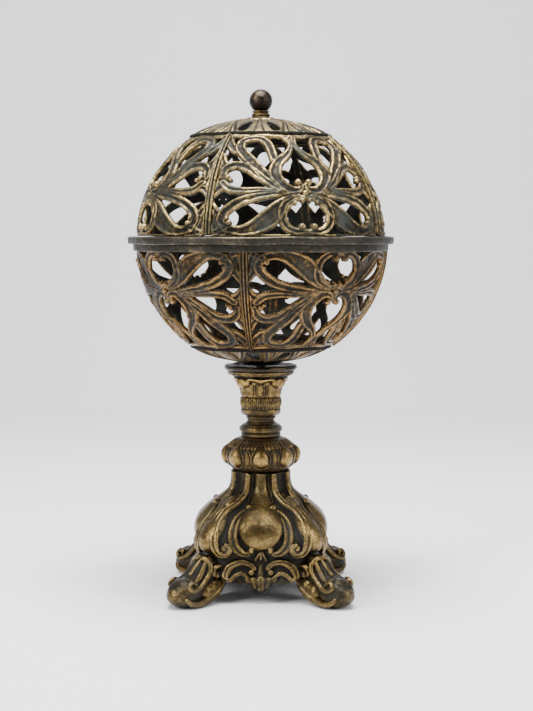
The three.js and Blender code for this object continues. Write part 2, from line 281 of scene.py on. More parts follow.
def pierced_shell(name, relief, wrap, wraps=False):
    """A shell of the part of a relief that lies inside its strands, its edges moved onto their outline.

    wrap(u, v, height) gives the outer point, and with height None the inner one.
    """
    value = np.clip(relief.inside, -3, 3)
    closed = np.concatenate([value, value[:, :1]], 1) if wraps else value
    keep = (closed[:-1, :-1] + closed[1:, :-1] + closed[:-1, 1:] + closed[1:, 1:]) > 0
    for _ in range(3):  # two cells that touch only at a corner get the cells beside them
        a, b, c, d = keep[:-1, :-1], keep[:-1, 1:], keep[1:, 1:], keep[1:, :-1]
        falling, rising = a & c & ~b & ~d, b & d & ~a & ~c
        keep[:-1, 1:] |= falling
        keep[:-1, :-1] |= rising
    keep = joined_to_edge(keep)
    used, full = vertex_cover(keep, wraps)
    border = used & ~full
    slope_v, slope_u = np.gradient(value)
    steep = slope_u**2 + slope_v**2 + 1e-6
    most = 0.6  # of a cell
    move_u = np.clip(-value * slope_u / steep, -most, most) * border
    move_v = np.clip(-value * slope_v / steep, -most, most) * border
    move_u[:, [0, -1]] = 0
    move_v[[0, -1]] = 0
    u = relief.u + move_u * (relief.u[0, 1] - relief.u[0, 0])
    v = relief.v + move_v * (relief.v[1, 0] - relief.v[0, 0])
    height = np.where(relief.height < OUTSIDE / 2, 0, relief.height)
    height = np.where(border, np.minimum(height, -RIM_DEPTH), height)
    return shell(name, wrap(u, v, height), wrap(u, v, None), keep, wraps)


def write_attribute(mesh, name, values):
    layer = mesh.attributes.get(name) or mesh.attributes.new(name, "FLOAT", "POINT")
    layer.data.foreach_set("value", np.asarray(values, np.float32))


def vectors(items, key):
    """That vector of every item of a mesh, as rows of three."""
    values = np.empty(len(items) * 3, np.float32)
    items.foreach_get(key, values)
    return values.reshape(-1, 3)


def mark_relief(piece, fine=5, broad=40):
    """Stores how far each point stands out of its surroundings, near and wide, in tenths of a mm."""
    mesh = piece.data
    count = len(mesh.vertices)
    place = vectors(mesh.vertices, "co").astype(float)
    normal = vectors(mesh.vertex_normals, "vector")
    edges = np.empty(len(mesh.edges) * 2, np.int32)
    mesh.edges.foreach_get("vertices", edges)
    one, two = edges[::2], edges[1::2]
    ends, others = np.concatenate([one, two]), np.concatenate([two, one])
    degree = np.bincount(ends, minlength=count)[:, None]
    soft = place.copy()
    pull = 0.6
    for number in range(1, broad + 1):
        moved = np.stack([np.bincount(ends, soft[others, k], count) for k in range(3)], 1) / degree
        soft = (1 - pull) * soft + pull * moved
        if number in (fine, broad):
            stands = ((place - soft) * normal).sum(1) / (0.1 * MM)
            write_attribute(mesh, "relief" if number == fine else "hollow", stands)
    return piece


def turned_copy(piece, name, degrees, flip=False, lift=0.0):
    """A copy of a mesh turned about the vertical axis, and upside down if flipped."""
    mesh = piece.data.copy()
    copy = add_object(name, mesh)
    place = vectors(mesh.vertices, "co")
    angle = math.radians(degrees)
    x, y, z = place.T.copy()
    place[:, 0] = x * math.cos(angle) - y * math.sin(angle)
    place[:, 1] = x * math.sin(angle) + y * math.cos(angle)
    place[:, 2] = (-z if flip else z) + lift * MM
    mesh.vertices.foreach_set("co", place.ravel())
    if flip:
        mesh.flip_normals()
    mesh.update()
    return copy


# ---- globe ----
def sphere_point(longitude, latitude, radius=GLOBE_R):
    latitude = np.radians(latitude)
    return round_axis(radius * np.cos(latitude), longitude, radius * np.sin(latitude))


# Strands of half a panel: longitude from its middle, latitude, half width in mm.
HEART = [(3.4, 53.5, 2.2), (1.6, 49.4, 2.0), (1.9, 46.4, 2.0), (5.8, 41.6, 2.8), (11.2, 37.3, 3.6),
         (13.7, 32, 4.3), (12.4, 27.0, 4.3), (8.6, 23.6, 3.8), (4.8, 22.8, 3.0), (2.2, 23.4, 2.4),
         (1.3, 25.2, 2.0)]
UPPER_LOOP = [(8.6, 21.4, 1.8), (12.6, 23.4, 3.0), (17.2, 27.6, 3.8), (23, 34.2, 4.0), (29.6, 40.8, 3.8),
              (33.6, 45.2, 3.6), (33.0, 49.6, 3.2), (27.5, 51.8, 3.0), (21.5, 51.8, 3.0), (17.0, 49.2, 3.2),
              (14.8, 44.4, 3.2), (13.6, 39.2, 3.0)]
MIDDLE_UPPER = [(8.8, 21.7, 1.7), (14, 24.3, 2.2), (20, 28.5, 2.8), (27.4, 33.7, 3.3), (34.4, 35.6, 3.3),
                (39.4, 33.6, 3.1), (40.6, 29.6, 2.6)]
MIDDLE_LOWER = [(8.8, 21.8, 1.5), (14, 22.4, 1.8), (21, 22.9, 2.1), (28.7, 22.7, 2.5), (35.4, 23.3, 2.8),
                (39.6, 26.4, 2.8)]
LOWER_UPPER = [(8.8, 21.5, 1.6), (14, 21.0, 2.2), (21.5, 20.0, 2.8), (30, 17.8, 3.2), (36, 14.2, 3.4),
               (38.8, 10, 3.3), (37, 6.4, 3.0)]
LOWER_LEAF = [(3.4, 20.2, 1.8), (8, 18.2, 3.6), (13, 14.4, 5.6), (18, 9.8, 6.4), (24, 6.4, 5.0),
              (30, 4.8, 3.6), (37, 5.8, 2.8)]
SMALL_RING = [(0.9, 19.4, 1.7), (3.4, 19.5, 2.0), (6, 19.0, 2.2), (10.2, 16.4, 2.8), (11.6, 12, 3.1),
              (10.4, 7.4, 3.0), (7, 4.9, 2.7), (3.6, 4.5, 2.3), (0.8, 4.4, 2.0)]
CORNER_LEAVES = [
    [(33.5, 43, 2.6), (38, 45.2, 3.2), (42, 49.2, 3.2), (44, 53, 2.6)],
    [(39, 34.4, 2.4), (42, 37.6, 2.8), (44, 41, 2.8)],
    [(38, 24.6, 2.4), (41.4, 23.6, 2.9), (44, 21.4, 3.2)],
    [(38.4, 10.6, 2.4), (41.4, 13.0, 2.9), (44, 15.6, 3.2)],
    [(37.4, 6.0, 2.4), (41.4, 4.0, 2.8), (44, 3.0, 2.8)],
    [(40.2, 30.6, 2.4), (44, 30.4, 2.9)],
    [(40.6, 4.4, 3.0), (42.6, 8.4, 3.2), (43.4, 12.6, 2.8)],
    [(43.4, 24.0, 2.6), (43.4, 34.0, 2.6)],
]
BALLS = [(2.7, 26.7, 2.2), (2.8, 6.7, 2.2), (1.7, 18.0, 1.5), (5.4, 17.0, 1.4), (37.6, 29.0, 2.0),
         (35.0, 8.2, 1.8), (36.2, 10.4, 1.4), (35.8, 27.8, 1.4), (0, 21.4, 1.9)]


def panel_relief():
    """Half a panel's relief is worked out and mirrored."""
    half = 180 / QUARTERS - RIB_SIDE
    u = np.linspace(0, half, round(half / PANEL_STEP) + 1)
    v = np.linspace(PANEL_LOW, PANEL_HIGH, round((PANEL_HIGH - PANEL_LOW) / PANEL_STEP) + 1)
    relief = Relief(sphere_point, u, v, fold=(0,))
    for path in CORNER_LEAVES:
        relief.strand(path, lift=-0.5, step=0.3, pierced=True)
    edges = [[(-1, PANEL_HIGH - 0.9, 1.6), (half + 1, PANEL_HIGH - 0.9, 1.6)],
             [(-1, PANEL_LOW + 0.2, 1.0), (half + 1, PANEL_LOW + 0.2, 1.0)]]
    for path in edges:
        relief.strand(path, lift=-0.2, step=0.3, hollow=0, pierced=True)
    for path in (LOWER_LEAF, MIDDLE_LOWER, UPPER_LOOP, MIDDLE_UPPER, LOWER_UPPER, SMALL_RING, HEART):
        relief.strand(path, step=0.3, pierced=True)
    for ball in BALLS:
        relief.dome([ball], rise=0.85, lift=-0.1, pierced=True)
    relief.height += 0.3 * waves(relief.place, 9, 12) + 0.2 * waves(relief.place, 3.2, 13)
    mirror = slice(None, 0, -1)
    relief.u = np.concatenate([-relief.u[:, mirror], relief.u], 1)
    for field in ("v", "height", "inside"):
        values = getattr(relief, field)
        setattr(relief, field, np.concatenate([values[:, mirror], values], 1))
    return relief


def make_panel():
    relief = panel_relief()

    def wrap(u, v, height):
        return sphere_point(u, v, PANEL_IN if height is None else GLOBE_R + height)

    return mark_relief(pierced_shell("panel", relief, wrap))


def make_rib():
    """Three beads side by side, the middle one the highest. Here u is the share of the width."""
    u, v = np.meshgrid(np.linspace(-1, 1, 17), np.arange(RIB_LOW, RIB_HIGH, STEP))
    middle = 1.7 * hump(u, 0.26)
    sides = 0.9 * hump(np.abs(u) - 0.72, 0.2)
    height = 0.3 + np.maximum(middle, sides) + 0.12 * waves(sphere_point(u, v), 7, 3)
    outer = sphere_point(u * RIB_SIDE, v, GLOBE_R + height)
    return mark_relief(shell("rib", outer, sphere_point(u * RIB_SIDE, v, PANEL_IN)))


def cap_point(turn, polar, radius):
    """On the cap's sphere, by degrees round the axis and from the pole."""
    return sphere_point(turn, 90 - polar, radius)


def cap_relief():
    edge = 90 - CAP_EDGE + 0.4
    turn = np.linspace(0, 45, 76)
    polar = np.linspace(CAP_HOLE, edge, 72)
    relief = Relief(lambda u, v: cap_point(u, v, GLOBE_R), turn, polar, fold=(0, 45))
    relief.inside[:] = 3
    petal = [(0, 6, 1.2), (0, 14, 1.5), (0, 22, 2.2), (0, 29, 3.2), (0, 33, 4.2)]
    relief.strand(petal, lift=-0.2, step=0.3)
    side_petal = [(45, 6, 1.2), (40, 14, 1.5), (31, 22, 1.8), (25, 28, 2.2), (22, 33, 3.0)]
    relief.strand(side_petal, lift=-0.2, step=0.3)
    relief.dome([(45, 30, 4.6), (45, 24, 3.8), (45, 17, 1.6)], rise=0.22)
    leaf_edge = [(45, 15.5, 1.2), (37, 22, 1.3), (35, 29, 1.4), (38, 33, 1.6)]
    relief.strand(leaf_edge, lift=-0.5, step=0.3, hollow=0)
    relief.strand([(-2, edge - 0.8, 1.3), (47, edge - 0.8, 1.3)], lift=0.2, step=0.3, hollow=0)
    relief.strand([(-2, CAP_HOLE + 1.6, 1.4), (47, CAP_HOLE + 1.6, 1.4)], lift=0.2, step=0.3, hollow=0)
    slot = [(12, 20.0, 1.0), (14.5, 24.4, 2.3), (15.6, 28.4, 2.9)]
    distance, width = relief.reach(slot, 0.3)
    hole = (distance - width[None]).min(1).reshape(relief.u.shape)
    relief.inside = np.minimum(relief.inside, hole)
    relief.height -= 0.8 * np.exp(-np.maximum(hole, 0) / 0.5) * (hole < 1.5)
    return relief


def unfold(field, times):
    """A field on half a sector, mirrored into the sector and repeated all the way round."""
    return np.tile(np.concatenate([field, field[:, -2:0:-1]], 1), times)


def make_cap(hub):
    """The cap is a little flatter than the globe, so that its middle is hub mm off the globe's centre."""
    relief = cap_relief()
    relief.height, relief.inside = unfold(relief.height, QUARTERS), unfold(relief.inside, QUARTERS)
    columns = relief.height.shape[1]
    relief.u, relief.v = np.meshgrid(np.arange(columns) * 360 / columns, relief.v[:, 0])

    def wrap(u, v, height):
        place = cap_point(u, v, PANEL_IN + CAP_THINNER if height is None else GLOBE_R + height)
        edge = math.sin(math.radians(CAP_EDGE))
        share = np.clip((place[..., 2] / GLOBE_R - edge) / (1 - edge), 0, 1)
        place[..., 2] -= (GLOBE_R - hub) * share**2
        return place

    return mark_relief(pierced_shell("cap", relief, wrap, wraps=True))


# ---- turned pieces ----
def rounded(corners, steps=5):
    """An outline of (radius, height, corner radius) points with its corners rounded off."""
    corners = np.array(corners, float)
    out = []
    for before, at, after in zip(np.roll(corners, 1, 0), corners, np.roll(corners, -1, 0)):
        back, ahead = before[:2] - at[:2], after[:2] - at[:2]
        reach = min(at[2], np.linalg.norm(back) / 2.01, np.linalg.norm(ahead) / 2.01)
        if reach < 0.02:
            out.append(at[:2])
            continue
        start = at[:2] + back / np.linalg.norm(back) * reach
        end = at[:2] + ahead / np.linalg.norm(ahead) * reach
        for t in np.linspace(0, 1, steps):
            out.append((1 - t) ** 2 * start + 2 * t * (1 - t) * at[:2] + t * t * end)
    return np.array(out)


def subdivided(outline, longest):
    """The closed outline with extra points, so that no side is longer than that."""
    out = []
    for start, end in zip(outline, np.roll(outline, -1, 0)):
        count = max(1, math.ceil(np.linalg.norm(end - start) / longest))
        out += [start + (end - start) * k / count for k in range(count)]
    return np.array(out)


def turned(name, corners, columns, uneven=0.0, size=20.0, seed=1, longest=1.0):
    """A turned piece from a closed outline. uneven raises and lowers it by up to that many mm."""
    outline = subdivided(rounded(corners), longest)
    radius, height = outline[:, :1], outline[:, 1:]
    place = round_axis(radius, np.arange(columns) * 360 / columns, height)
    bump = uneven * waves(place, size, seed)
    place[..., 2] += bump
    place[..., :2] *= 1 + 0.4 * bump[..., None] / np.maximum(radius, 2)[..., None]
    rows = len(outline)
    j, i = np.meshgrid(np.arange(rows), np.arange(columns), indexing="ij")
    below, right = (j + 1) % rows, (i + 1) % columns
    faces = np.stack([j * columns + i, j * columns + right, below * columns + right, below * columns + i], -1)
    piece = build(name, place.reshape(-1, 3), faces.reshape(-1, 4).tolist())
    close_poles(piece)
    return mark_relief(piece, 3, 16)


def close_poles(piece):
    """Merges points that lie on the axis, and turns the faces outwards."""
    mesh = bmesh.new()
    mesh.from_mesh(piece.data)
    bmesh.ops.remove_doubles(mesh, verts=mesh.verts, dist=1e-6)
    bmesh.ops.dissolve_degenerate(mesh, edges=mesh.edges, dist=1e-7)
    if mesh.calc_volume(signed=True) < 0:
        bmesh.ops.reverse_faces(mesh, faces=mesh.faces)
    mesh.to_mesh(piece.data)
    mesh.free()


def grid_normals(place):
    """Unit normals of a grid of points that closes on itself along its rows."""
    along = np.roll(place, -1, 1) - np.roll(place, 1, 1)
    normal = np.cross(along, np.gradient(place, axis=0))
    return normal / (np.linalg.norm(normal, axis=-1, keepdims=True) + 1e-9)


def raised_ring(name, relief, times, inner, ground):
    """The whole ring of a relief on a sector, raised along the surface's normals, and closed by inner(u, v).

    What stands less than ground mm out of the surface gathers dirt.
    """
    height = unfold(relief.height, times)
    columns = height.shape[1]
    u, v = np.meshgrid(np.arange(columns) * 360 / columns, relief.v[:, 0])
    place = relief.surface(u, v)
    piece = shell(name, place + grid_normals(place) * height[..., None], inner(u, v), wraps=True)
    mark_relief(piece)
    outer = np.clip((height.ravel() - ground) * GROUND_SLOPE, *HOLLOW_RANGE)
    write_attribute(piece.data, "hollow", np.concatenate([outer, np.zeros(outer.size)]))
    return piece


# ---- stem ----
def revolved(profile):
    """surface(u, v) of a turned surface: u is degrees round it, and v is its height."""
    radius = curve_table(profile)

    def surface(u, v):
        return round_axis(radius(v), u, v)

    return surface


def bore(u, v):
    return round_axis(BORE_R, u, v)


# Turned outlines: height, radius.
KNOP = [(80.9, 16.4), (82.4, 19.2), (84.6, 21.2), (88, 22.5), (92, 23.5), (95, 22.9), (98, 20.4), (101, 16.8),
        (103.2, 13.2)]


def make_knop():
    height = np.linspace(KNOP_LOW, KNOP_HIGH, 64)
    relief = Relief(revolved(KNOP), np.linspace(0, 22.5, 24), height, fold=(0, 22.5))
    boss = [(0, 100.0, 1.0), (0, 97.4, 1.9), (0, 94.4, 3.6), (0, 91.4, 5.0), (0, 89.8, 5.3)]
    oval = [(22.5, 94.2, 1.0), (22.5, 90.4, 1.8), (22.5, 87.0, 1.3)]
    relief.halo(boss, gap=0.9, rise=0.6, step=0.5)
    relief.halo(oval, gap=0.8, rise=0.5)
    for turn, top in ((8.6, 100.4), (15.2, 100.9), (22.5, 100.6)):
        relief.dome([(turn, top, 0.9), (turn, 97.2, 1.2)], rise=0.9)
    relief.dome(boss, rise=0.62, step=0.5)
    relief.dome(oval, rise=0.8)
    relief.height += 0.12 * waves(relief.place, 4, 15)
    return raised_ring("knop", relief, 8, bore, 0.9)


CAPITAL = [(117, 10.2), (118.0, 12.0), (119.6, 13.1), (121.4, 13.4), (122.2, 12.9), (128.6, 13.1),
           (129.4, 12.3), (131, 12.7), (134, 13.0), (138.5, 14.0), (141.5, 15.0), (143.8, 15.8),
           (144.5, 21.2), (146.9, 22.2)]


def make_capital():
    height = np.linspace(CAPITAL_LOW, CAPITAL_HIGH, 92)
    relief = Relief(revolved(CAPITAL), np.linspace(0, 45, 50), height, fold=(0, 45))
    for turn, half in ((0, 1.7), (33, 3.0)):
        tongue = [(turn, 137.4, half), (turn, 132.4, half * 0.95)]
        relief.halo(tongue, gap=0.7, rise=0.6, thick=0.45)
        relief.dome(tongue, rise=0.3, lift=0.5)
    for turn in (6, 18, 30, 42):
        relief.dome([(turn, 128.4, 1.2), (turn, 125.6, 1.6), (turn, 122.8, 0.7)], rise=0.6)
        relief.groove([(turn, 127.6, 0.3), (turn, 123.4, 0.3)], depth=0.6)
    relief.strand([(4, 141.8, 1.2), (14, 142.8, 1.4), (26, 143.0, 1.6), (36, 142.6, 1.7)], lift=1.6, hollow=0)
    relief.dome([(43, 140.8, 4.2)], rise=1.5)
    relief.groove([(43, 140.8, 2.1)], depth=1.6)
    relief.dome([(43, 140.8, 1.4)], rise=1.0, lift=4.4)
    relief.dome([(0, 141.4, 2.4)], rise=0.95, lift=0.3)
    relief.dome([(16, 139.6, 1.9)], rise=0.8)
    relief.dome([(9, 138.4, 1.2)], rise=0.8)
    relief.height += 0.16 * waves(relief.place, 4, 11)
    return raised_ring("capital", relief, QUARTERS, bore, 0.5)


# ---- base ----
# Distance from the axis by height, in the middle of a face and at a corner.
FACE = curve_table([(81, 17.4), (79, 17.4), (75, 17.5), (70, 18.2), (66, 19.8), (62, 23.4), (58, 27.6),
                    (54, 31.4), (48, 36.0), (42, 38.4), (36, 38.8), (32, 37.6), (28, 37.4), (22, 39.0),
                    (15, 41.2), (8, 43)])
CORNER = curve_table([(81, 17.4), (79, 17.5), (75, 17.7), (70, 19.0), (65, 22.4), (60, 28.8), (54, 37.2),
                      (50, 41.8), (47, 44.8), (44, 47.2), (40, 49.0), (35, 49.0), (30, 46.0), (26, 46.4),
                      (22, 48.6), (15, 53.0), (8, 57)])
# Height of the lower edge, by degrees from a face's middle.
HEM = curve_table([(0, 8.0), (4, 8.6), (8, 11.6), (12, 13.4), (18, 13.6), (24, 14.4), (30, 17), (37, 19),
                   (45, 19)])


def folded(u):
    """Degrees from the middle of the nearest face."""
    return np.abs((np.asarray(u) + 45) % 90 - 45)


def base_radius(turn, z):
    """Distance of the base's surface from the axis, turn degrees from a face's middle and z high."""
    return FACE(z) + (CORNER(z) - FACE(z)) * np.sin(np.radians(2 * turn)) ** 2


def base_surface(u, v, wall=0.0):
    """v runs from 0 at the base's lower edge to 100 at its top."""
    turn = folded(u)
    low = HEM(turn)
    z = low + v / 100 * (BASE_TOP - low)
    return round_axis(base_radius(turn, z) - wall, u, z - 0.6 * wall * smoothstep(z / 30 - 1))


def from_front(x, z):
    """Where on the base a point is that, seen from the front, is x from the middle line and z high."""
    turn = np.degrees(np.arcsin(np.clip(x / FACE(z), -0.7, 0.7)))
    for _ in range(12):
        turn = np.degrees(np.arcsin(np.clip(x / base_radius(turn, z), -0.72, 0.72)))
    low = HEM(np.abs(turn))
    return turn, (z - low) / (BASE_TOP - low) * 100


def raise_corner(relief):
    """The bulging lobe on a corner, the crest over it, and the big scroll beside it."""
    corner_lobe = [(24, 66, 2.6), (28, 61, 3.8), (32.5, 54, 6.0), (36, 47, 8.6), (37.5, 40, 8.0)]
    relief.dome(corner_lobe, rise=0.42)
    relief.dome([(40, 63.0, 2.6), (40, 59.0, 3.2)], rise=1.25, lift=0.3)
    for x in (5.2, 6.7):  # reeds beside the drop's neck
        reed = [(x, 85, 0.8), (x * 0.98, 74, 0.8), (x * 1.05, 66, 0.9), (x * 1.3, 60, 0.9)]
        relief.strand(reed, lift=-0.2, hollow=0)
    outer_scroll = [(7.4, 84, 1.5), (7.9, 74, 1.7), (9.6, 66.8, 2.0), (15.0, 60.8, 2.4), (22.4, 56, 2.6),
                    (27.8, 48.6, 2.7), (29.4, 40.6, 2.7), (27.4, 34, 2.4), (22.4, 32.6, 2.1),
                    (19.6, 36, 1.7), (22.2, 38.8, 1.3)]
    relief.strand(outer_scroll, lift=2.0)
    relief.dome([(23.2, 36.2, 2.2)], rise=1.1, lift=0.5)


def raise_medallion(relief):
    """The drop in the middle of a face, in its frame of two scrolls."""
    frame_scroll = [(4.8, 54.6, 1.4), (6.8, 57.0, 1.8), (11.2, 55.8, 2.4), (15.8, 51.4, 2.9),
                    (17.9, 44.8, 3.1), (16.9, 38.2, 3.0), (12.8, 33.8, 2.6), (8.8, 32.8, 2.1),
                    (6.4, 34.8, 1.5)]
    relief.strand(frame_scroll, lift=1.3)
    drop = [(0, 86, 3.2), (0, 76, 3.5), (0, 70, 4.1), (0, 64, 6.0), (0.5, 58.5, 8.0), (1.8, 53.0, 10.3),
            (3.0, 47.6, 11.7), (1.5, 46.6, 11.8), (0, 46.4, 11.8)]
    relief.dome(drop, rise=0.5, lift=0.7)
    for ball, lift in (((7.6, 58.0, 2.3), 3.0), ((6.4, 35.4, 2.0), 2.2)):
        relief.dome([ball], rise=1.1, lift=lift)
    for path in ([(0.9, 33.4, 1.0), (2.2, 30.6, 1.1), (3.6, 27.6, 1.2)], [(0, 33, 1.1), (0, 28.4, 1.2)]):
        relief.strand(path, lift=0.5, hollow=0)


def raise_apron(relief):
    """The arches along the lower edge, and the pendant between them."""
    arch = [(4.4, 22.4, 1.6), (7.8, 25.4, 2.1), (13.8, 26.4, 2.4), (19.6, 23.6, 2.5), (22.4, 19, 2.3),
            (23.0, 16.0, 1.9)]
    relief.strand(arch, lift=1.4)
    lower_arch = [(9.2, 17.6, 1.2), (12.4, 19.6, 1.5), (16.6, 18.4, 1.5), (19.4, 15.8, 1.4)]
    relief.strand(lower_arch, lift=0.9, hollow=0)
    for ball in ((6.4, 20.0, 2.3), (21.6, 15.6, 2.3)):
        relief.dome([ball], rise=1.0, lift=0.7)
    pendant = [[(0, 24, 1.3), (0, 19, 2.0)], [(0, 15, 3.6), (0, 11.4, 3.0)],
               [(5.0, 15.2, 2.6), (3.2, 12.0, 2.0)], [(8.4, 16.0, 2.1)]]
    for path in pendant:
        relief.dome(path, rise=0.75, lift=0.6)
    relief.groove([(0, 16, 0.4), (0, 9, 0.4)], depth=0.9)
    relief.groove([(4.6, 15.6, 0.35), (2.6, 11, 0.35)], depth=0.7)


def make_base_body():
    """Its ornament is placed as seen from the front: distance from the middle line, height, half width."""
    turn = np.linspace(0, 45, 63)
    relief = Relief(base_surface, turn, np.linspace(0, 100, 184), fold=(0, 45), chart=from_front)
    relief.height += 0.35 * waves(relief.place, 9, 5) + 0.12 * waves(relief.place, 3.4, 6)
    raise_corner(relief)
    raise_medallion(relief)
    raise_apron(relief)

    def inner(u, v):
        return base_surface(u, v, BASE_WALL)

    return raised_ring("base_body", relief, QUARTERS, inner, 1.3)


# A foot's spine in its diagonal plane: distance from the axis, height, half thickness, half width.
FOOT = [(46, 27.0, 3.0, 5.0), (49.5, 24.5, 6.0, 6.8), (53, 20.0, 7.6, 7.8), (57, 14.8, 8.4, 8.6),
        (62, 11.0, 8.8, 9.4), (67, 9.2, 9.0, 9.9), (71.5, 9.0, 9.0, 9.8), (75.6, 9.4, 7.4, 8.2),
        (78.6, 10.2, 4.8, 5.4), (80.0, 10.8, 1.6, 1.8)]


def foot_surface(u, v):
    """u is degrees round the leg, with 90 on top; v runs from 0 inside the base to 100 at the toe."""
    spine = smooth_path(FOOT, 0.5)
    share = np.linspace(0, 100, len(spine))
    r, z, thick, wide = [np.interp(v, share, spine[:, k]) for k in range(4)]
    slope = np.gradient(spine[:, :2], axis=0)
    slope /= np.linalg.norm(slope, axis=1, keepdims=True)
    dr, dz = [np.interp(v, share, slope[:, k]) for k in range(2)]
    angle = np.radians(u)
    side, up = np.cos(angle), np.sin(angle)
    side, up = np.sign(side) * np.abs(side) ** 0.75, np.sign(up) * np.abs(up) ** 0.8
    return along_leg(r - dz * thick * up, np.maximum(z + dr * thick * up, SOLE), wide * side)


def along_leg(out, height, across):
    """A point of the front right leg, by distance from the axis, height and distance from its middle."""
    root = math.sqrt(0.5)
    return np.stack([(out + across) * root, (-out + across) * root, height], -1)


def raised_foot():
    """The leg and toe, with a rib down each side of its top and one down the middle."""
    relief = Relief(foot_surface, np.arange(0, 360, 3.0), np.linspace(0, 100, 120), fold=(90,))
    relief.height += 0.3 * waves(relief.place, 9, 21) + 0.12 * waves(relief.place, 3.5, 22)
    side_rib = [(56, 2, 1.5), (48, 24, 1.7), (46, 44, 1.8), (52, 60, 1.5), (74, 68, 1.2)]
    relief.strand(side_rib, step=1.5, hollow=0)
    relief.strand([(90, 2, 1.5), (90, 26, 1.8), (90, 44, 1.3)], step=1.5, lift=-0.2, hollow=0)
    relief.dome([(90, 80, 5.5)], rise=0.12, step=1.5)
    place = relief.place
    normal = grid_normals(place)
    if ((place - place.mean(1, keepdims=True)) * normal).sum() < 0:
        normal = -normal
    place = place + normal * relief.height[..., None]
    place[..., 2] = np.maximum(place[..., 2], SOLE)
    return closed_tube("foot", place)


def closed_tube(name, rings):
    """A closed mesh from rings of points; each end is closed by a fan."""
    rows, columns = rings.shape[:2]
    faces = cell_corners(rows, columns, True).reshape(-1, 4).tolist()
    first, last = rows * columns, rows * columns + 1
    for i in range(columns):
        right = (i + 1) % columns
        faces.append((right, i, first))
        faces.append(((rows - 1) * columns + i, (rows - 1) * columns + right, last))
    vertices = np.concatenate([rings.reshape(-1, 3), rings[:1].mean(1), rings[-1:].mean(1)])
    piece = build(name, vertices, faces)
    close_poles(piece)
    write_attribute(piece.data, "back", np.zeros(len(piece.data.vertices)))
    return mark_relief(piece)


def scroll(name, points, sides=14):
    """A round cord of metal through 3-D points; the fourth column is its radius. It ends in round tips."""
    path = smooth_path(points, 0.6)
    centre, radius = path[:, :3], path[:, 3]
    ahead = np.gradient(centre, axis=0)
    ahead /= np.linalg.norm(ahead, axis=1, keepdims=True)
    travelled = np.concatenate([[0], np.cumsum(np.linalg.norm(np.diff(centre, axis=0), axis=1))])
    near_end = np.minimum(travelled, travelled[-1] - travelled)
    share = np.clip(near_end / radius, 0.02, 1)
    radius = radius * np.sqrt(share * (2 - share))
    side = np.cross(ahead, [0.3, 0.5, 0.81])
    side /= np.linalg.norm(side, axis=1, keepdims=True)
    other = np.cross(ahead, side)
    angle = np.arange(sides) * 2 * math.pi / sides
    rings = centre[:, None] + radius[:, None, None] * (
        np.cos(angle)[None, :, None] * side[:, None] + np.sin(angle)[None, :, None] * other[:, None])
    rings[..., 2] = np.maximum(rings[..., 2], SOLE)
    return closed_tube(name, rings)


# Cords of a foot, by distance from the axis, height, distance from the leg's middle plane, radius.
# The scroll along the flank: from its eye over the top and down to the sole.
FLANK = [(48.4, 18.6, 8.2, 1.6), (51.4, 19.6, 8.4, 1.5), (50.2, 23.2, 8.4, 1.6), (45.8, 23.8, 8.4, 1.9),
         (42.4, 20.0, 8.4, 2.2), (43.2, 14.4, 8.4, 2.5), (47.6, 8.8, 8.4, 2.8), (54.8, 4.8, 8.6, 2.8),
         (63, 3.0, 9.2, 2.5), (71, 4.0, 9.4, 2.0), (75.4, 7.4, 8.0, 1.4)]
# The edge of the leaf on top of the leg, which ends in a small spiral on the toe's flank.
LEAF_EDGE = [(55.0, 29.6, 0.0, 1.9), (54.2, 29.0, 4.2, 1.9), (53.6, 26.4, 7.6, 1.8), (54.4, 22.0, 8.8, 1.7),
             (58.4, 17.6, 9.2, 1.7), (64.0, 13.4, 9.9, 1.7), (69.6, 11.8, 10.2, 1.6), (72.8, 14.2, 9.2, 1.5),
             (70.4, 17.0, 8.6, 1.4), (67.2, 16.0, 9.2, 1.3), (67.8, 13.8, 9.8, 1.3)]
# The plate inside the flank's scroll: distance from the axis, height, radius.
WEB = [(47.4, 18.6, 4.2), (46.8, 15.0, 4.6), (50.0, 10.6, 5.4), (56, 8.6, 6.0), (62, 8.2, 6.0)]
WEB_ACROSS = 5.2  # from the leg's middle plane


def make_foot():
    """The front right foot: leg and toe with, on each flank, a scroll, its eye and the edge of a leaf."""
    pieces = [raised_foot()]
    for flank in (-1, 1):
        for path in (FLANK, LEAF_EDGE):
            cord = [(*along_leg(out, height, flank * across), radius) for out, height, across, radius in path]
            pieces.append(scroll("cord", cord))
        web = [(*along_leg(out, height, flank * WEB_ACROSS), radius) for out, height, radius in WEB]
        pieces.append(scroll("web", web, sides=24))
        eye = [(*along_leg(47.6, 18.8, flank * across), 2.5) for across in (5.0, 7.6, 10.2)]
        pieces.append(scroll("eye", eye))
    return join("foot", pieces)


def join(name, pieces):
    """One object of several; its meshes stay separate shells."""
    with bpy.context.temp_override(active_object=pieces[0], selected_editable_objects=pieces):
        bpy.ops.object.join()
    pieces[0].name = name
    return pieces[0]


# ---- materials ----
def node_maker(material):
    """A function that adds a shader node with its inputs, which are values or other nodes' outputs."""
    tree = material.node_tree

    def add(kind, inputs=(), **settings):
        node = tree.nodes.new("ShaderNode" + kind)
        for key, value in settings.items():
            setattr(node, key, value)
        for key, value in dict(inputs).items():
            if isinstance(value, bpy.types.NodeSocket):
                tree.links.new(value, node.inputs[key])
            else:
                node.inputs[key].default_value = value
        return node

    return add


SOOT = (0.009, 0.008, 0.006)
VERDIGRIS = (0.036, 0.040, 0.033)
CAVITY, WIDE = 0.22, 0.05  # how much a mark of lying low darkens, near and wide


